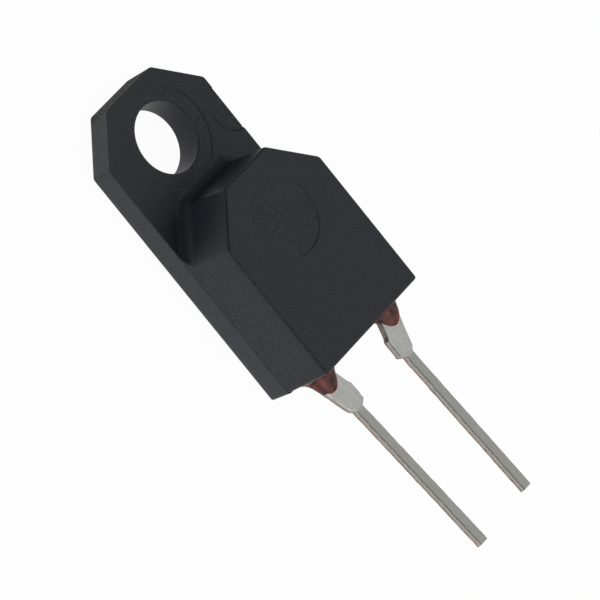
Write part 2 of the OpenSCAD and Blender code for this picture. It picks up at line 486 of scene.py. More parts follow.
@dataclass(frozen=True)
class MouldingFinish:
    """Black filled epoxy: eroded grain, soft flow patches, specks of filler and a torn, lighter tab end.

    The torn end is where y - draft * z is past torn_from, which follows the leaning end face.
    Its lighter warm grey is partly the rough torn surface and partly painted sheen for the light
    that falls on that end.
    """

    name: str = "epoxy_moulding"
    dark: Colour = (0.0098, 0.0108, 0.0153)
    light: Colour = (0.0172, 0.0188, 0.0262)
    filler: Colour = (0.055, 0.056, 0.058)
    # Lighter warm grey of the torn tab end, partly painted sheen for the light on that end.
    torn: Colour = (0.085, 0.084, 0.080)
    flow: Grain = Grain(2.4, 4.0, (1.0, 0.45, 1.0))
    grain: Grain = Grain(0.085, 4.0)
    fine: Grain = Grain(0.03, 2.0)
    specks: Grain = Grain(0.05, 1.0)
    tear: Grain = Grain(0.16, 5.0)
    speck_range: Span = (0.69, 0.76)
    tear_range: Span = (0.38, 0.62)
    grain_share: float = 0.65
    grain_depth: float = 0.0060
    fine_depth: float = 0.0014
    specular: Span = (0.205, 0.33)
    gloss: Span = (0.42, 0.50)
    torn_gloss: float = 0.4
    torn_from: float = 2.81
    torn_fade: float = 0.01
    draft: float = 0.1294

    def material(self) -> Material:
        """Makes the moulding's material.

        Returns:
            The material.
        """
        graph = Graph(bpy.data.materials.new(self.name))
        flow, grain, fine = graph.noises(self.flow, self.grain, self.fine)
        specks, tear = graph.noises(self.specks, self.tear)
        place = graph.node("SeparateXYZ", {0: graph.places["Object"]}).outputs
        beyond = graph.math("SUBTRACT", place[1], graph.math("MULTIPLY", place[2], self.draft))
        end = graph.remap(beyond, (self.torn_from * MM, (self.torn_from + self.torn_fade) * MM))
        # Mask of the torn tab end, whose lighter colour is partly painted sheen.
        torn = graph.math("MULTIPLY", end, graph.remap(tear, self.tear_range, (0.05, 1.0)))
        blend = graph.blend((flow, SOFT, 1 - self.grain_share), (grain, CRISP, self.grain_share))
        filler = graph.remap(specks, self.speck_range, (0.0, 0.7))
        colour = graph.mix(filler, graph.mix(blend, self.dark, self.light), self.filler)
        gloss = graph.remap(flow, SOFT, self.gloss)
        return graph.end({
            "Base Color": graph.mix(torn, colour, self.torn),
            "Roughness": graph.math("ADD", gloss, graph.math("MULTIPLY", end, self.torn_gloss)),
            "Normal": graph.relief((grain, self.grain_depth), (fine, self.fine_depth)),
            "Specular IOR Level": graph.remap(grain, CRISP, self.specular),
        })


@dataclass(frozen=True)
class TinFinish:
    """Matte tin plate on copper strip: drawn lines along the lead, mottles and darker spots.

    The narrow lead is darker too, from the neck on.
    """

    name: str = "tin_plate"
    dark: Colour = (0.300, 0.300, 0.285)
    light: Colour = (0.490, 0.490, 0.466)
    # Darker tone of the narrow lead and of the spots.
    dull: Colour = (0.26, 0.255, 0.234)
    mottle: Grain = Grain(0.13, 5.0, (1.0, 0.7, 1.0))
    drawn: Grain = Grain(0.05, 2.0, (1.0, 0.06, 1.0))
    fine: Grain = Grain(0.035, 3.0)
    spots: Grain = Grain(0.5, 3.0)
    spot_range: Span = (0.60, 0.72)
    spot_wear: float = 0.35
    drawn_share: float = 0.4
    drawn_depth: float = 0.0022
    fine_depth: float = 0.0024
    gloss: Span = (0.34, 0.46)
    neck: float = -15.8
    neck_fade: float = 0.4
    neck_wear: float = 0.55

    def material(self) -> Material:
        """Makes the plate's material.

        Returns:
            The material.
        """
        graph = Graph(bpy.data.materials.new(self.name))
        mottle, drawn, fine, spots = graph.noises(self.mottle, self.drawn, self.fine, self.spots)
        along = graph.node("SeparateXYZ", {0: graph.places["Object"]}).outputs[1]
        fade = ((self.neck - self.neck_fade) * MM, self.neck * MM)
        # The narrow lead is darkened from the neck on.
        narrow = graph.remap(along, fade, (self.neck_wear, 0.0))
        blend = graph.blend((mottle, SOFT, 1 - self.drawn_share), (drawn, SOFT, self.drawn_share))
        colour = graph.mix(blend, self.dark, self.light)
        darker_share = graph.math("MAXIMUM", narrow, graph.remap(spots, self.spot_range, (0.0, self.spot_wear)))
        return graph.end({
            "Base Color": graph.mix(darker_share, colour, self.dull),
            "Roughness": graph.remap(mottle, SOFT, self.gloss),
            "Normal": graph.relief((drawn, self.drawn_depth), (fine, self.fine_depth)),
            "Metallic": 1.0,
        })


@dataclass(frozen=True)
class ShearedFinish:
    """Sheared side of the strip: bare copper at the back, tin smeared over the front half.

    It reads the piece's own value across the thickness, 0 at the back and 1 at the front.
    """

    name: str = "sheared_edge"
    copper: Colour = (0.40, 0.28, 0.215)
    tarnish: Colour = (0.22, 0.15, 0.12)
    smear: Colour = (0.36, 0.355, 0.335)
    ragged: Grain = Grain(0.16, 4.0, (1.0, 1.0, 0.25))
    stroke: Grain = Grain(0.03, 2.0, (1.0, 1.0, 0.12))
    stain: Grain = Grain(0.3, 3.0)
    ragged_by: float = 0.22
    break_at: float = 0.36
    break_fade: float = 0.05
    stroke_depth: float = 0.003
    gloss: Span = (0.52, 0.36)

    def material(self) -> Material:
        """Makes the sheared side's material.

        Returns:
            The material.
        """
        graph = Graph(bpy.data.materials.new(self.name))
        ragged, stroke, stain = graph.noises(self.ragged, self.stroke, self.stain)
        shift = graph.remap(ragged, FAINT, (-self.ragged_by, self.ragged_by))
        level = graph.math("ADD", graph.across(), shift)
        smeared = graph.remap(level, (self.break_at - self.break_fade, self.break_at + self.break_fade))
        copper = graph.mix(graph.remap(stain, CRISP), self.copper, self.tarnish)
        return graph.end({
            "Base Color": graph.mix(smeared, copper, self.smear),
            "Roughness": graph.remap(smeared, UNIT, self.gloss),
            "Normal": graph.relief((stroke, self.stroke_depth)),
            "Metallic": 1.0,
        })


@dataclass(frozen=True)
class ResinFinish:
    """Glossy red-brown sealing resin that pales where it thins out.

    It reads the piece's own value: 0 on the thick bead and 1 at its thin rim.
    """

    name: str = "sealing_resin"
    deep: Colour = (0.020, 0.0045, 0.0036)
    warm: Colour = (0.170, 0.024, 0.015)
    thin: Colour = (0.165, 0.100, 0.086)
    cloud: Grain = Grain(0.26, 4.0, (1.0, 0.5, 1.0))
    lumps: Grain = Grain(0.22, 2.0)
    cloud_range: Span = (0.38, 0.66)
    thin_range: Span = (0.25, 0.95)
    lump_shift: Span = (-0.25, 0.25)
    lump_depth: float = 0.02
    gloss: Span = (0.30, 0.42)
    glow: float = 0.25
    glow_reach: float = 0.25
    glow_colours: Triple = (1.0, 0.25, 0.15)
    specular: float = 0.3

    def material(self) -> Material:
        """Makes the resin's material.

        Returns:
            The material.
        """
        graph = Graph(bpy.data.materials.new(self.name))
        cloud, lumps = graph.noises(self.cloud, self.lumps)
        body = graph.mix(graph.remap(cloud, self.cloud_range), self.deep, self.warm)
        pale = graph.math("ADD", graph.across(), graph.remap(lumps, SOFT, self.lump_shift))
        return graph.end({
            "Base Color": graph.mix(graph.remap(pale, self.thin_range), body, self.thin),
            "Roughness": graph.remap(lumps, SOFT, self.gloss),
            "Normal": graph.relief((lumps, self.lump_depth)),
            "Subsurface Weight": self.glow,
            "Subsurface Radius": self.glow_colours,
            "Subsurface Scale": self.glow_reach * MM,
            "Specular IOR Level": self.specular,
        })


PLATED_COPPER = Finish(
    "nickel_plate", (0.60, 0.585, 0.55), (0.74, 0.73, 0.70), (0.26, 0.38), 1.6, 0.05, 0.0025,
    stretch=(1.0, 0.05, 1.0), metallic=1.0,
)
ALUMINA = Finish("alumina_ceramic", (0.78, 0.77, 0.72), (0.90, 0.89, 0.85), (0.55, 0.7), 0.8, 0.04, 0.002)
FILM = Finish("resistor_film", (0.03, 0.035, 0.03), (0.08, 0.09, 0.08), (0.45, 0.6), 0.5, 0.03, 0.002)
OVERGLAZE = Finish(
    "green_glaze", (0.06, 0.22, 0.14), (0.10, 0.30, 0.20), (0.10, 0.22), 0.9, 0.08, 0.002, coat=0.3
)
SILVER_PRINT = Finish(
    "printed_silver", (0.62, 0.60, 0.56), (0.80, 0.79, 0.76), (0.35, 0.5), 0.4, 0.03, 0.003, metallic=1.0
)
SOLDER = Finish(
    "soft_solder", (0.42, 0.43, 0.44), (0.62, 0.63, 0.64), (0.25, 0.45), 0.5, 0.06, 0.004, metallic=1.0
)


# --- pieces ---


def fit(piece: Object, node: str) -> None:
    """Fixes a piece to the part's body, in place of its plain solid.

    Args:
        piece: The piece.
        node: The solid that it stands for.
    """
    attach(piece, BODY)
    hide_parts(node)
    LOG.info("%s: %d faces, stands for %s", piece.name, len(piece.data.polygons), node)


@dataclass(frozen=True)
class Plan:
    """Plan of a moulding half: a square lead end and two cut corners at the far end."""

    width: float
    low: float
    high: float
    cut: float
    corner: float = 0.35
    end: float = 0.15

    def ring(self, grow: float, steps: int = 14) -> Array:
        """Makes the outline, pushed outwards about the same corner centres.

        Each corner is an arc centre + (radius + grow) * (cos a, sin a).

        Args:
            grow: How far the outline is pushed out.
            steps: Steps along each corner's arc.

        Returns:
            The ring's points, anticlockwise from the lead end's right corner.
        """
        slip = self.corner * (math.sqrt(2) - 1)
        side, end_x, end_y = self.width / 2 - self.corner, self.width / 2 - self.end, self.low + self.end
        shoulder, inset = self.high - self.cut - slip, self.width / 2 - self.cut - slip
        round_, square = self.corner + grow, self.end + grow
        top = self.high - self.corner
        corners = [
            [end_x, end_y, square, -90, 0],
            [side, shoulder, round_, 0, 45],
            [inset, top, round_, 45, 90],
            [-inset, top, round_, 90, 135],
            [-side, shoulder, round_, 135, 180],
            [-end_x, end_y, square, 180, 270],
        ]
        return corner_ring(np.array(corners, dtype=float), steps)


@dataclass(frozen=True)
class HeatSpreader:
    """The plated metal plate, with its locking rim and slightly rounded edges."""

    width: float = 5.8
    low: float = -12.0
    high: float = -5.0
    thickness: float = 1.64
    rim: float = 0.3
    rim_thickness: float = 0.7
    edge: float = 0.05
    corner: float = 0.08
    tightest: float = 0.01
    steps: int = 6

    def outline(self, grow: float, corner: float) -> Array:
        """Makes the plate's rectangle with rounded corners, pushed outwards.

        Args:
            grow: How far it is pushed out.
            corner: Radius of its corners.

        Returns:
            The ring's points, anticlockwise.
        """
        x, low, high = self.width / 2 + grow - corner, self.low - grow + corner, self.high + grow - corner
        spots = [(x, low), (x, high), (-x, high), (-x, low)]
        corners = [[*spot, corner, 90 * k - 90, 90 * k] for k, spot in enumerate(spots)]
        return corner_ring(np.array(corners), self.steps)

    def build(self) -> None:
        """Builds the plate as rings of one rectangle, pushed out or in at each height."""
        under = self.thickness - self.rim_thickness
        profile = [(0.0, -2 * self.edge), *quarter(self.edge, self.steps)[::-1]]
        profile += [(under, 0.0), (under, self.rim), (self.thickness, self.rim)]
        skin = Skin()
        corners = [max(self.corner + grow, self.tightest) for _, grow in profile]
        rings = [skin.ring(self.outline(g, corner), h) for (h, g), corner in zip(profile, corners)]
        skin.stack(rings)
        skin.cap([rings[0]], DOWN)
        skin.cap([rings[-1]], UP)
        fit(skin.piece("plate", [PLATED_COPPER.material()]), "heat_spreader")


@dataclass(frozen=True)
class GateScar:
    """Half-round flat left at the tab's edge where the gate was broken off.

    The flat lies a little under the tab's face. A soft slope leads down to it, and a
    fine torn groove runs along the slope's foot.
    """

    centre: Span = (4.23, -1.15)
    radius: float = 1.29
    depth: float = 0.05
    slope: float = 0.06
    groove: float = 0.16
    groove_depth: float = 0.030
    fade: float = 0.35
    margin: float = 0.03
    arcs: int = 15
    stations: int = 24

    def fall(self, radius: Array, rise: Array) -> Array:
        """Gives how deep the scar is: depth * t^2 (3 - 2 t) + groove depth * sin^2(pi u).

        Here t goes from 0 to 1 down the slope, and u from 0 to 1 across the groove,
        which fades away towards the tab's end.

        Args:
            radius: Distance from the scar's centre.
            rise: How far the point lies towards the tab's end from that centre.

        Returns:
            The depth there.
        """
        kept = np.clip((self.fade - rise) / self.fade, 0, 1)
        t = np.clip((self.radius - radius) / self.slope, 0, 1)
        u = np.clip((self.radius - self.slope / 2 - radius) / self.groove, 0, 1)
        return self.depth * t * t * (3 - 2 * t) + self.groove_depth * kept * np.sin(math.pi * u) ** 2

    def radii(self) -> Array:
        """Lists the arcs' radii, falling: slope and groove, with a flat margin on either side."""
        ends = np.array([self.radius, self.radius - self.slope / 2 - self.groove])
        return np.array([ends[0] + self.margin, *np.linspace(*ends, self.arcs), ends[1] - self.margin])

    def edge(self, edge: float) -> tuple[Array, Array]:
        """Lists the stations on the tab's edge, with every arc's ends among them.

        Args:
            edge: The edge's x.

        Returns:
            The stations' y, rising, and how deep the scar is at each.
        """
        aside = edge - self.centre[0]
        half = np.sqrt(self.radii() ** 2 - aside**2)
        inner = np.linspace(-half[-1], half[-1], self.stations)[1:-1]
        y = np.concatenate([-half, inner, half[::-1]])
        return self.centre[1] + y, self.fall(np.hypot(aside, y), y)

    def arc(self, edge: float, radius: float) -> Array:
        """Makes one arc over the tab: centre + radius * (cos a, sin a), without its ends.

        Args:
            edge: The tab edge's x.
            radius: The arc's radius.

        Returns:
            The arc's points, from its lower end to its upper end.
        """
        aside = edge - self.centre[0]
        rise = math.atan2(math.sqrt(radius**2 - aside**2), aside)
        angle = np.linspace(2 * math.pi - rise, rise, 2 * self.stations)[1:-1]
        return polar(self.centre, radius, angle)


@dataclass(frozen=True)
class MouldedCase:
    """The black moulding: a back half with the tab and a front half with the thick block.

    Flat margins beside rounded edges keep the smooth shading off the flat faces. The three
    places of witness_span, measured down from the parting plane, are where the groove there
    starts, is deepest and ends. The front half is sunk a little way into the back half.
    """

    width: float = 8.26
    thickness: float = 4.93
    reach: float = 13.25
    mismatch: float = 0.06
    back_taper: float = 0.22
    front_taper: float = 0.03
    back_edge: float = 0.06
    front_edge: float = 0.14
    tab: float = 1.70
    tab_reach: float = 3.05
    tab_cut: float = 2.25
    hole: float = 1.865
    seat: float = 2.65
    seat_depth: float = 0.03
    seat_lip: float = 0.012
    flat_margin: float = 0.05
    step: float = 3.15
    step_cut: float = 2.32
    step_lean: float = 0.15
    fillet: float = 0.6
    witness: float = 0.03
    witness_span: Triple = (0.075, 0.045, 0.02)
    wall_levels: Triple = (2.9, 3.6, 4.2)
    sunk: float = 0.01
    dish: float = 2.05
    dish_depth: float = 0.04
    dish_y: float = -6.3
    turning_pitch: float = 0.13
    turning_depth: float = 0.007
    turning_steps: int = 6
    plate: HeatSpreader = HeatSpreader()
    plate_gap: float = 0.01
    scar: GateScar = GateScar()
    circle_count: int = 160
    skin: Skin = field(default_factory=Skin)

    def back_ring(self, height: float, grow: float) -> Array:
        """Makes the back half's outline at a height, with the scar's stations on its edge.

        The sides draw in evenly from the parting plane to the mounting face. Where the
        scar is, no point stands higher than the scar's sunken floor.

        Args:
            height: Height over the mounting face.
            grow: How far the outline is pushed out.

        Returns:
            The ring's points, with their heights.
        """
        draw = self.back_taper * (1 - height / self.tab)
        ring = Plan(self.width - 2 * draw, -self.reach, self.tab_reach, self.tab_cut).ring(grow)
        first, last = self.scar_span()
        y, fall = self.scar.edge(self.width / 2)
        edge = np.stack([np.full(len(y), ring[first, 0]), y], axis=1)
        plan = np.concatenate([ring[:first], edge, ring[first:]])
        heights = np.full(len(plan), height)
        heights[first:last] = np.minimum(height, self.tab - fall)
        return np.column_stack([plan, heights])

    def scar_span(self) -> tuple[int, int]:
        """Gives where in the outline the scar's stations start, and the place past the last."""
        first = len(Plan(1, 0, 1, 0.1).ring(0)) // 6
        return first, first + len(self.scar.edge(self.width / 2)[0])

    def back_half(self) -> None:
        """Adds the back half: side walls, tab face, seat, hole, mounting face and plate pocket."""
        start, deepest, end = (self.tab - below for below in self.witness_span)
        profile = [(0.0, -1.5 * self.back_edge), *quarter(self.back_edge, 6)[::-1]]
        profile += [(height, 0.0) for height in (0.5, 1.1, start)]
        profile += [(deepest, -self.witness), (end, 0.0), (self.tab, 0.0)]
        rings = [self.skin.ring(self.back_ring(height, grow)) for height, grow in profile]
        self.skin.stack(rings)
        self.tab_face(rings[-1])
        self.skin.cap([rings[0], self.hole_rings(), self.pocket()], DOWN)

    def tab_face(self, top: Array) -> None:
        """Adds the tab's flat face round the washer seat, with the sunken scar.

        Args:
            top: Places of the outline's top ring.
        """
        first, last = self.scar_span()
        arcs = []
        for k, radius in enumerate(self.scar.radii()):
            plan = self.scar.arc(self.width / 2, radius)
            fall = self.scar.fall(radius, plan[:, 1] - self.scar.centre[1])
            inside = self.skin.ring(plan, self.tab - fall)
            arcs.append(np.array([top[first + k], *inside, top[last - 1 - k]]))
        for outer, inner in zip(arcs[:-1], arcs[1:]):
            self.skin.band(inner, outer, closed=False)
        foot = len(arcs) - 1
        sunk = top[first + foot : last - foot]
        self.skin.cap([np.concatenate([sunk, arcs[-1][-2:0:-1]])], UP)
        rim, margin = (
            self.skin.ring(circle((0, 0), self.seat + self.seat_lip + wide, self.circle_count), self.tab)
            for wide in (0.0, self.flat_margin)
        )
        self.skin.band(margin, rim)
        self.skin.cap([np.concatenate([top[:first], arcs[0], top[last:]]), margin], UP)

    def hole_rings(self) -> Array:
        """Adds the washer seat and the screw hole: circles of falling radius and height.

        Returns:
            Places of the hole's ring on the mounting face.
        """
        floor = self.tab - self.seat_depth
        lip = [(self.seat_lip, 0.0), (0.003, -0.003), (0.0, -0.010)]
        corner = [(-0.002, 0.006), (-0.012, 0.0), (-0.04, 0.0)]
        mouth = [(0.09, 0.0), (0.045, -0.002), (0.018, -0.012), (0.004, -0.034), (0.0, -0.06)]
        back = [(0.0, 0.05), (0.012, 0.014), (0.045, 0.0), (0.045 + self.flat_margin, 0.0)]
        profile = [(self.seat + r, self.tab + h) for r, h in lip]
        profile += [(self.seat + r, floor + h) for r, h in corner]
        profile += [(self.hole + r, floor + h) for r, h in mouth]
        profile += [(self.hole, floor / 2), *[(self.hole + r, h) for r, h in back]]
        rings = [self.skin.ring(circle((0, 0), r, self.circle_count), h) for r, h in profile]
        self.skin.stack(rings)
        return rings[-1]

    def pocket(self) -> Array:
        """Adds the pocket that the metal plate fills, open on the mounting face.

        Returns:
            Places of the pocket's ring on the mounting face.
        """
        plan = self.plate.outline(self.plate_gap, self.plate.corner)
        mouth, ceiling = self.skin.ring(plan), self.skin.ring(plan, self.plate.thickness)
        self.skin.band(ceiling, mouth)
        self.skin.cap([ceiling], DOWN)
        return mouth

    def block(self, height: float, taper: float = 0.0) -> Plan:
        """Makes the front half's plan at a height, where its step wall leans.

        Args:
            height: Height over the mounting face.
            taper: How far each side draws in from the tab's face to the front face.

        Returns:
            The plan.
        """
        fall = (self.thickness - height) / (self.thickness - self.tab)
        width = self.width - 2 * taper * (1 - fall)
        return Plan(width, self.mismatch - self.reach, -self.step + self.step_lean * fall, self.step_cut)

    def front_ring(self, height: float, grow: float, angles: Array) -> Array:
        """Makes the front half's outline at a height, as distances from the dish's centre.

        The outline is pushed out by the fillet, and cut off where that would pass the
        side walls: the distance is the smaller of the two.

        Args:
            height: Height over the mounting face.
            grow: How far the outline is pushed out.
            angles: Direction of each point, in radians.

        Returns:
            The ring's points.
        """
        block, centre = self.block(height, self.front_taper), np.array([0.0, self.dish_y])
        far = ray_lengths(block.ring(grow), centre, angles)
        if grow > 0:
            wall = replace(block, high=self.tab_reach, cut=self.tab_cut)
            far = np.minimum(far, ray_lengths(wall.ring(0), centre, angles))
        return polar(centre, far, angles)

    def directions(self) -> Array:
        """Lists the directions in which the front half is sampled, close at its corners.

        Returns:
            The directions, in radians, rising.
        """
        crease, fine, coarse, closest = 24, 0.2, 0.75, 0.04
        marks = [np.arange(0, 360, coarse), np.arange(0, crease, fine), np.arange(180 - crease, 180, fine)]
        for height, grow in ((self.tab, 0.0), (self.thickness, 0.0), (self.thickness, -self.front_edge)):
            spot = self.block(height).ring(grow) - np.array([0.0, self.dish_y])
            marks.append(np.degrees(np.arctan2(spot[:, 1], spot[:, 0])) % 360)
        rising = np.unique(np.round(np.concatenate(marks), 3))
        return np.radians(rising[np.diff(rising, prepend=-1.0) > closest])

    def front_half(self) -> None:
        """Adds the front half: hollow fillet, leaning step wall, rounded edge, face and dish."""
        angles = self.directions()
        profile = [(self.tab - self.sunk, self.fillet)]
        profile += [(self.tab - grow, rise) for rise, grow in quarter(self.fillet, 15)]
        profile += [(level, 0.0) for level in self.wall_levels]
        profile += [(self.thickness - rise, grow) for rise, grow in quarter(self.front_edge, 9)]
        profile.append((self.thickness, -self.front_edge - 0.008))
        rings = [self.skin.ring(self.front_ring(height, grow, angles), height) for height, grow in profile]
        self.skin.stack(rings)
        self.skin.cap([rings[0]], DOWN)
        self.skin.cap([rings[-1], self.dish_rings()], UP)

    def dish_rings(self) -> Array:
        """Adds the dish, with the fine round lines that turning left in the mould.

        Its floor stands at depth * (1 - ripple), where the ripple is a cosine of the radius.

        Returns:
            Places of the ring round the dish on the front face.
        """
        floor = self.thickness - self.dish_depth
        rim = [(0.03, 0.0), (0.012, 0.02), (0.0, 0.15), (-0.012, 0.75), (-0.03, 0.97), (-0.05, 1.0)]
        profile = [(self.dish + r, self.thickness - self.dish_depth * h) for r, h in rim]
        outermost, innermost = self.dish - 0.07, 0.03
        radius = np.arange(outermost, innermost, -self.turning_pitch / self.turning_steps)
        ripple = 0.5 - 0.5 * np.cos(2 * math.pi * (outermost - radius) / self.turning_pitch)
        profile += [(r, floor + self.turning_depth * k) for r, k in zip(radius, ripple)]
        rings = [self.skin.ring(circle((0, self.dish_y), r, self.circle_count), h) for r, h in profile]
        self.skin.stack(rings)
        self.skin.cap([rings[-1]], UP)
        return rings[0]

    def build(self) -> None:
        """Builds the case and puts it in place of its plain solid."""
        self.back_half()
        self.front_half()
        fit(self.skin.piece("moulded_case", [MouldingFinish().material()]), "case")


@dataclass(frozen=True)
class Lead:
    """One flat lead, stamped from plated strip: foot, flare, neck and narrow end."""

    side: Side
    length: float
    seed: int
    pitch: float = 4.57
    width: float = 0.62
    thickness: float = 0.30
    level: float = 2.69
    case_end: float = MouldedCase.mismatch - MouldedCase.reach
    neck: float = -15.99
    exit_width: float = 1.48
    exit_shift: float = 0.72
    flare_width: float = 1.16
    flare_shift: float = -0.04
    flare_step: float = 0.15
    step_y: float = -14.79
    shoulder: float = 0.22
    foot_y: float = -11.6
    foot_end: float = -8.6
    foot_x: float = 2.175
    foot_width: float = 0.8
    rise: float = 5.5
    drift: float = 0.14
    bend: float = 1.0
    roll: float = 0.10
    burr: float = 0.02
    pace: float = 0.03
    wander: float = 0.006
    wander_width: float = 4.0
    sheared: range = range(2, 7)

    def edges(self, y: Array) -> tuple[Array, Array]:
        """Gives the x of the lead's inner and outer edge: straight runs between marked points.

        Args:
            y: Where along the lead.

        Returns:
            The inner and the outer edge's x.
        """
        lead, flare_x = self.pitch / 2, self.pitch / 2 + self.flare_shift
        exit_x, notch = lead + self.exit_shift, flare_x - self.flare_width / 2
        marks = [
            (self.neck - self.length, lead - self.drift, self.width),
            (self.neck, lead, self.width),
            (self.neck + self.shoulder, flare_x, self.flare_width),
            (self.case_end, exit_x, self.exit_width),
            ((self.foot_y + self.case_end) / 2, exit_x, self.exit_width),
            (self.foot_y, self.foot_x, self.foot_width),
            (self.foot_end, self.foot_x, self.foot_width),
        ]
        outer = [(place, middle + width / 2) for place, middle, width in marks]
        inner = [(place, middle - width / 2) for place, middle, width in marks]
        inner += [(self.step_y, notch), (self.step_y + self.shoulder, notch + self.flare_step)]
        return np.interp(y, *np.array(sorted(inner)).T), np.interp(y, *np.array(outer).T)

    def spine(self) -> tuple[Array, Array]:
        """Follows the lead's middle: level to the neck, round the bend, then straight.

        Returns:
            The middle's y and z at each station, and the tilt of the section there.
        """
        radius = self.bend + self.thickness / 2
        angle = math.radians(self.rise)
        level = self.level + self.thickness / 2
        flat = np.arange(self.foot_end, self.neck, -self.pace)
        turn = np.linspace(0, angle, 6)
        bent_y, bent_z = self.neck - radius * np.sin(turn), level + radius * (1 - np.cos(turn))
        left = (self.length - radius * math.sin(angle)) / math.cos(angle)
        run = np.linspace(0, left, int(left / self.pace))[1:]
        y = np.concatenate([flat, bent_y, bent_y[-1] - run * math.cos(angle)])
        z = np.concatenate([np.full(len(flat), level), bent_z, bent_z[-1] + run * math.sin(angle)])
        tilt = np.concatenate([np.zeros(len(flat)), turn, np.full(len(run), angle)])
        return np.stack([y, z], axis=1), tilt

    def section(self) -> tuple[Array, Array, Array]:
        """Makes the strip's section: rolled front corners, torn back corners with a burr.

        Returns:
            Each point's side (-1 or 1), its offset from that side's edge and its height
            over the middle, both in mm.
        """
        half = self.thickness / 2
        front = np.radians(np.linspace(0, 90, 6))
        roll_in = self.roll * (np.cos(front) - 1)
        roll_up = half - self.roll * (1 - np.sin(front))
        back_in = np.array([-0.10, -0.03, 0.0, 0.0])
        back_up = np.array([-half, -half, -half - self.burr, -half + 0.05])
        wall_in, wall_up = np.array([0.006, 0.010]), np.array([-half * 0.3, half * 0.1])
        offset = np.concatenate([back_in, wall_in, roll_in, [-self.roll - 0.06]])
        height = np.concatenate([back_up, wall_up, roll_up, [half]])
        side = np.concatenate([np.ones(len(offset)), -np.ones(len(offset))])
        return side, np.concatenate([offset, offset[::-1]]), np.concatenate([height, height[::-1]])

    def build(self) -> None:
        """Carries the section along the spine and dresses its faces.

        A point stands at edge + side * offset across, and at middle + height * normal. The
        faces that sheared counts on one side, and their mirror images, are the sheared ones.
        """
        spine, tilt = self.spine()
        inner, outer = (
            edge + self.wander * smooth_noise(len(edge), self.wander_width, self.seed + k)
            for k, edge in enumerate(self.edges(spine[:, 0]))
        )
        side, offset, height = self.section()
        edge = np.where(side > 0, outer[:, None], inner[:, None])
        x = edge + side * offset
        y = spine[:, 0:1] + height * np.sin(tilt)[:, None]
        z = spine[:, 1:2] + height * np.cos(tilt)[:, None]
        value = np.clip(height / self.thickness + 0.5, 0, 1)
        skin = Skin()
        rings = [skin.ring(np.stack(row, axis=1), across=value) for row in zip(x, y, z)]
        face = np.arange(len(side))
        mirrored = len(side) - 2 - face
        skin.stack(rings, np.isin(np.minimum(face, mirrored), self.sheared).astype(int))
        skin.cap([rings[0]], TO_CASE, 1)
        skin.cap([rings[-1]], TO_TIP, 1)
        materials = [TinFinish().material(), ShearedFinish().material()]
        piece = skin.piece(f"{self.side.word}_lead", materials, self.side is Side.LEFT)
        fit(piece, f"lead_{self.side.word}")


@dataclass(frozen=True)
class Seal:
    """The resin bead round a lead: a blunt nose on the lead and a thin skirt on the case."""

    side: Side
    seed: int
    start: float = Lead.case_end
    sunk: float = 0.05
    reach: float = 1.4
    lead_x: float = Lead.pitch / 2 + Lead.exit_shift
    shift: float = 0.45
    width: float = 3.05
    height: float = 1.5
    middle: float = Lead.level + Lead.thickness / 2
    nose: float = 0.6
    rim: float = 0.16
    ripple: float = 0.03
    ripple_width: float = 5.0
    end_share: float = 0.998
    rows: int = 48
    columns: int = 96

    def build(self) -> None:
        """Builds the bead as rings that shrink along the lead.

        The ring at share p of the run is an oval of size nose sqrt(1 - p^2) + (1 - nose) (1 - p)^5,
        with a slow random ripple. Its middle lies shift (0.4 + 0.6 (1 - p)^4) inside the lead's.
        The first ring is sunk into the case.
        """
        share = np.sin(np.linspace(0, math.pi / 2, self.rows)) * self.end_share
        size = self.nose * np.sqrt(1 - share**2) + (1 - self.nose) * (1 - share) ** 5
        centre = self.lead_x - self.shift * (0.4 + 0.6 * (1 - share) ** 4)
        angle = np.linspace(0, 2 * math.pi, self.columns, endpoint=False)
        ripple = 1 - self.ripple * np.abs(smooth_noise(self.columns, self.ripple_width, self.seed))
        size = size[:, None] * ripple ** np.minimum(1, share * 3)[:, None]
        x = centre[:, None] + self.width / 2 * size * np.cos(angle)
        z = self.middle + self.height / 2 * size * np.sin(angle)
        y = np.broadcast_to((self.start - self.reach * share)[:, None], x.shape)
        rim = np.clip(1 - share / self.rim, 0, 1)
        skin = Skin()
        rings = [skin.ring(np.stack([x[0], y[0] + self.sunk, z[0]], axis=1), across=1.0)]
        rings += [skin.ring(np.stack(row[:3], axis=1), across=row[3]) for row in zip(x, y, z, rim)]
        skin.stack(rings)
        skin.cap([rings[0]], TO_CASE)
        skin.cap([rings[-1]], TO_TIP)
        piece = skin.piece(f"{self.side.word}_seal", [ResinFinish().material()], self.side is Side.LEFT)
        fit(piece, f"seal_{self.side.word}")


@dataclass(frozen=True)
class Element:
    """The sealed-in resistor element, whose solids stay as they are and get their finishes."""

    finishes: tuple[tuple[Finish, tuple[str, ...]], ...] = (
        (SOLDER, ("ceramic_bond", "solder_left", "solder_right")),
        (ALUMINA, ("ceramic",)),
        (FILM, ("resistive_film",)),
        (OVERGLAZE, ("glaze",)),
        (SILVER_PRINT, ("pad_left", "pad_right")),
    )

    def dress(self, nodes: dict[str, Object]) -> None:
        """Gives each solid its finish.

        Args:
            nodes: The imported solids, by name.
        """
        for finish, names in self.finishes:
            material = finish.material()
            for name in names:
                mesh = nodes[name].data
                mesh.materials.clear()
                mesh.materials.append(material)
                LOG.info("%s: dressed in %s", name, finish.name)


# --- studio ---


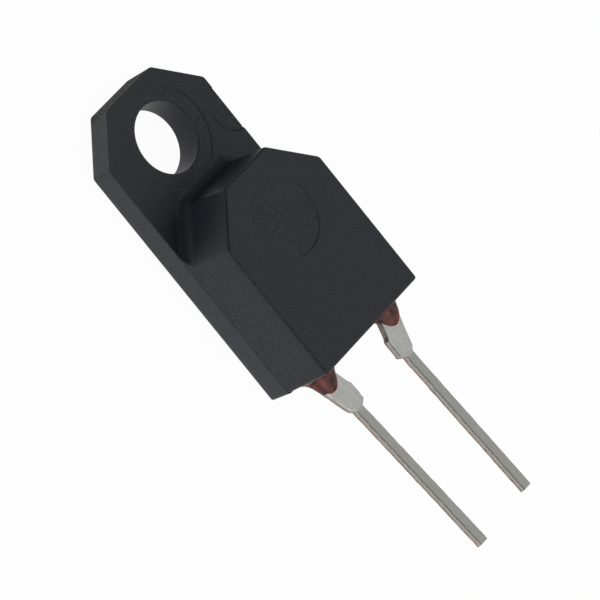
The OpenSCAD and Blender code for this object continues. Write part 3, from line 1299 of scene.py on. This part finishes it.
@dataclass(frozen=True)
class SoftBox:
    """One round soft lamp, placed by its direction from the part and facing it."""

    name: str
    azimuth: float
    elevation: float
    spread: float
    glow: float
    distance: float = 700.0

    def build(self, target: Vector) -> None:
        """Hangs the lamp.

        It looks spread degrees wide from its middle to its rim, and its power is
        glow * pi * area, with glow as the brightness of its face.

        Args:
            target: The point that it looks at, in metres.
        """
        turn, rise = math.radians(self.azimuth), math.radians(self.elevation)
        flat = math.cos(rise)
        toward = Vector((flat * math.cos(turn), flat * math.sin(turn), math.sin(rise)))
        radius = self.distance * MM * math.tan(math.radians(self.spread))
        lamp = bpy.data.lights.new(self.name, "AREA")
        lamp.shape, lamp.size = "DISK", 2 * radius
        lamp.energy = self.glow * math.pi * math.pi * radius**2
        holder = add(self.name, lamp)
        holder.location = target + toward * self.distance * MM
        holder.rotation_mode = "QUATERNION"
        holder.rotation_quaternion = toward.to_track_quat("Z", "Y")
        holder.visible_camera = False
        LOG.info("lamp %s: %.2f W", self.name, lamp.energy)


@dataclass(frozen=True)
class Studio:
    """Small round pale floor, soft lamps, dim surround and the camera."""

    target: Triple = (0.0, -11.0, 2.0)
    camera_at: Triple = (-222.9189, 54.1333, 281.8673)
    camera_turn: tuple[float, float, float, float] = (0.87689352, 0.03009072, -0.33774316, -0.34070789)
    lens: float = 446.4913
    sensor: float = 36.0
    clip: Span = (0.01, 20.0)
    floor_radius: float = 45.0
    floor_gap: float = 0.02
    floor_tones: Span = (0.90, 0.891)
    floor_patch: Grain = Grain(300.0)
    floor_white: float = 0.96
    floor_glow: float = 0.92
    surround: float = 0.36
    shade_side: Triple = (0.0, 0.643, 0.766)
    shade_level: float = 0.08
    shade_reach: Span = (0.45, 0.90)
    lamps: tuple[SoftBox, ...] = (
        SoftBox("left_low", 160, 9, 20, 3.6),
        SoftBox("left_end", 230, 12, 9, 6.7),
        SoftBox("lead_end", 270, 45, 24, 1.5),
        SoftBox("right_high", 345, 50, 36, 0.70),
    )

    def camera(self) -> None:
        """Sets up the camera."""
        data = bpy.data.cameras.new("camera")
        data.lens, data.sensor_width, data.sensor_fit = self.lens, self.sensor, "AUTO"
        data.clip_start, data.clip_end = self.clip
        holder = add("camera", data)
        holder.location = Vector(self.camera_at) * MM
        holder.rotation_mode = "QUATERNION"
        holder.rotation_quaternion = Quaternion(self.camera_turn)
        bpy.context.scene.camera = holder

    def floor(self) -> None:
        """Lays the small round floor, which keeps the part's shadow.

        It glows white for the camera's rays, and partly for rays that come off a glossy face.
        """
        graph = Graph(bpy.data.materials.new("pale_floor"))
        colour = graph.mix(*graph.noises(self.floor_patch), *[(tone,) * 3 for tone in self.floor_tones])
        matte = graph.node("BsdfDiffuse", {"Color": colour}).outputs[0]
        white = graph.node("Emission", {"Color": WHITE, "Strength": 1.0}).outputs[0]
        path = graph.node("LightPath").outputs
        mirrored = graph.math("MULTIPLY", path["Is Glossy Ray"], self.floor_glow)
        seen = graph.math("MAXIMUM", path["Is Camera Ray"], mirrored)
        seen = graph.math("MAXIMUM", seen, path["Is Transmission Ray"])
        share = graph.math("MULTIPLY", seen, self.floor_white)
        ring = circle((0, self.target[1]), self.floor_radius, 96)
        mesh = bpy.data.meshes.new("floor")
        points = np.column_stack([ring, np.full(len(ring), -self.floor_gap)]) * MM
        mesh.from_pydata(points, [], [range(len(points))])
        mesh.materials.append(graph.end({0: share, 1: matte, 2: white}, "MixShader"))
        add("floor", mesh)

    def world(self) -> None:
        """Sets the surround: white behind the floor, and as a light dim, and dimmer on one side.

        The share towards the shaded side is the ray's direction times shade_side, and
        the light falls as that share crosses shade_reach.
        """
        graph = Graph(bpy.data.worlds.new("surround"))
        sides = {0: graph.places["Generated"], 1: self.shade_side}
        share = graph.node("VectorMath", sides, operation="DOT_PRODUCT").outputs["Value"]
        dim = graph.remap(share, self.shade_reach, (self.surround, self.shade_level))
        seen = graph.node("LightPath").outputs["Is Camera Ray"]
        level = graph.remap(seen, UNIT, (dim, 1.0))
        bpy.context.scene.world = graph.end({"Color": WHITE, "Strength": level}, "Background")

    def build(self) -> None:
        """Builds the whole studio."""
        self.camera()
        self.floor()
        self.world()
        for lamp in self.lamps:
            lamp.build(Vector(self.target) * MM)
        bpy.context.scene.view_settings.view_transform = "Standard"


def main() -> None:
    """Builds the studio and every piece, in order."""
    logging.basicConfig(level=logging.INFO, format="%(name)s: %(message)s")
    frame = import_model()
    Studio().build()
    leads = (Lead(Side.LEFT, 8.95, 11), Lead(Side.RIGHT, 8.76, 23))
    seals = (Seal(Side.LEFT, 5), Seal(Side.RIGHT, 9))
    for piece in (MouldedCase(), HeatSpreader(), *leads, *seals):
        piece.build()
    Element().dress(frame["nodes"])


if __name__ == "__main__":
    main()
